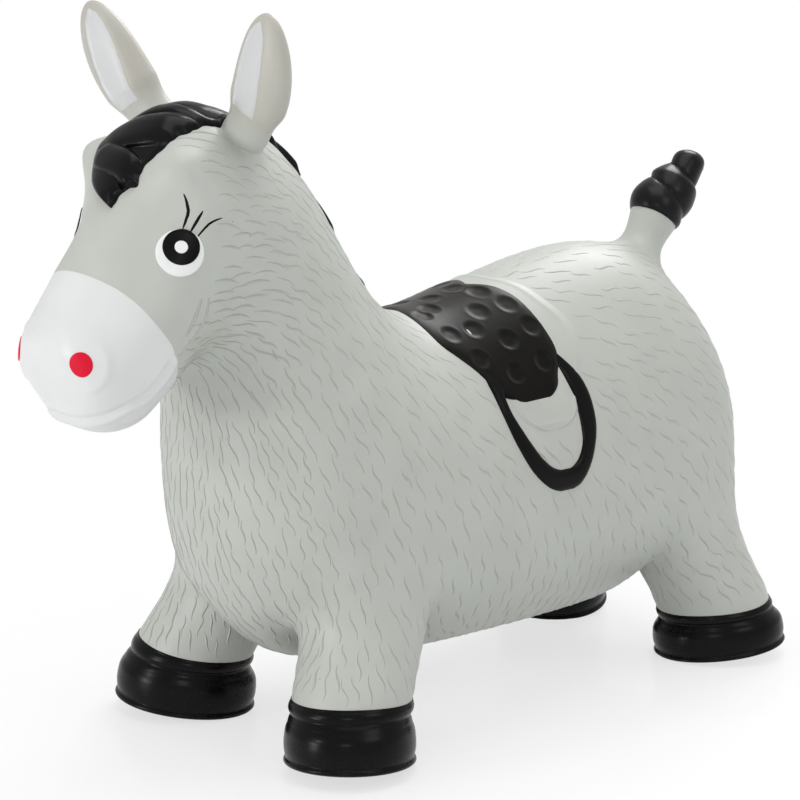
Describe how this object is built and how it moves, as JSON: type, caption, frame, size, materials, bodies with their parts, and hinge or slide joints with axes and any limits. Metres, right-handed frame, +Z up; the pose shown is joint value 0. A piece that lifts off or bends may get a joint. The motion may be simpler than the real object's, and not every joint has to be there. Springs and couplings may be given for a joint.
{
  "type": "inflatable ride-on animal",
  "caption": "Blown-up donkey for a child to sit on and bounce, with soft ears, a twisted tail tuft, a relief saddle with stirrup loops, splayed legs and black hooves.",
  "frame": {"origin": "middle of the bounding box, on the floor under the hooves", "axes": "+X to the animal's left side, +Y towards its tail, so it faces -Y, +Z up"},
  "size_m": [0.2696, 0.622, 0.5049],
  "materials": {
    "grey": "soft satin grey PVC skin with fine moulded hair",
    "white": "off-white painted PVC",
    "black": "satin black paint on PVC",
    "red": "red paint",
    "plug": "pale rubbery plastic"
  },
  "bodies": {
    "inflated_body": {"torso": "grey", "neck": "grey", "head": "grey", "leg_front_left": "grey", "leg_front_right": "grey", "leg_rear_left": "grey", "leg_rear_right": "grey", "ear_root_left": "grey", "ear_root_right": "grey", "tail_root": "grey", "valve_port": "grey", "muzzle": "white", "eye_white_left": "white", "eye_white_right": "white", "highlight_left": "white", "highlight_right": "white", "hoof_front_left": "black", "hoof_front_right": "black", "hoof_rear_left": "black", "hoof_rear_right": "black", "saddle": "black", "stirrup_left": "black", "stirrup_right": "black", "forelock": "black", "mane": "black", "iris_left": "black", "iris_right": "black", "nostril_left": "red", "nostril_right": "red"},
    "ear_left": {"ear_left": "grey", "ear_lining_left": "white"},
    "ear_right": {"ear_right": "grey", "ear_lining_right": "white"},
    "tail": {"tail_stem": "grey", "tail_tuft": "black"},
    "valve_plug": {"valve_plug": "plug"}
  },
  "joints": [
    {"name": "ear_left_flex", "type": "hinge", "parent": "inflated_body", "child": "ear_left", "pos_m": [0.0544, -0.1821, 0.4309], "axis": [0.866, 0, -0.5], "range_deg": [-16, 16], "stiffness_Nm_per_rad": 0.25, "deforming": ["ear_root_left"]},
    {"name": "ear_right_flex", "type": "hinge", "parent": "inflated_body", "child": "ear_right", "pos_m": [-0.0544, -0.1821, 0.4309], "axis": [0.866, 0, 0.5], "range_deg": [-16, 16], "stiffness_Nm_per_rad": 0.25, "deforming": ["ear_root_right"]},
    {"name": "tail_flex", "type": "hinge", "parent": "inflated_body", "child": "tail", "pos_m": [0, 0.2537, 0.3111], "axis": [1, 0, 0], "range_deg": [-20, 20], "stiffness_Nm_per_rad": 0.3, "deforming": ["tail_root"]},
    {"name": "valve_plug_pull", "type": "slide", "parent": "inflated_body", "child": "valve_plug", "axis": [0, 0, -1], "range_m": [0, 0.016]}
  ]
}
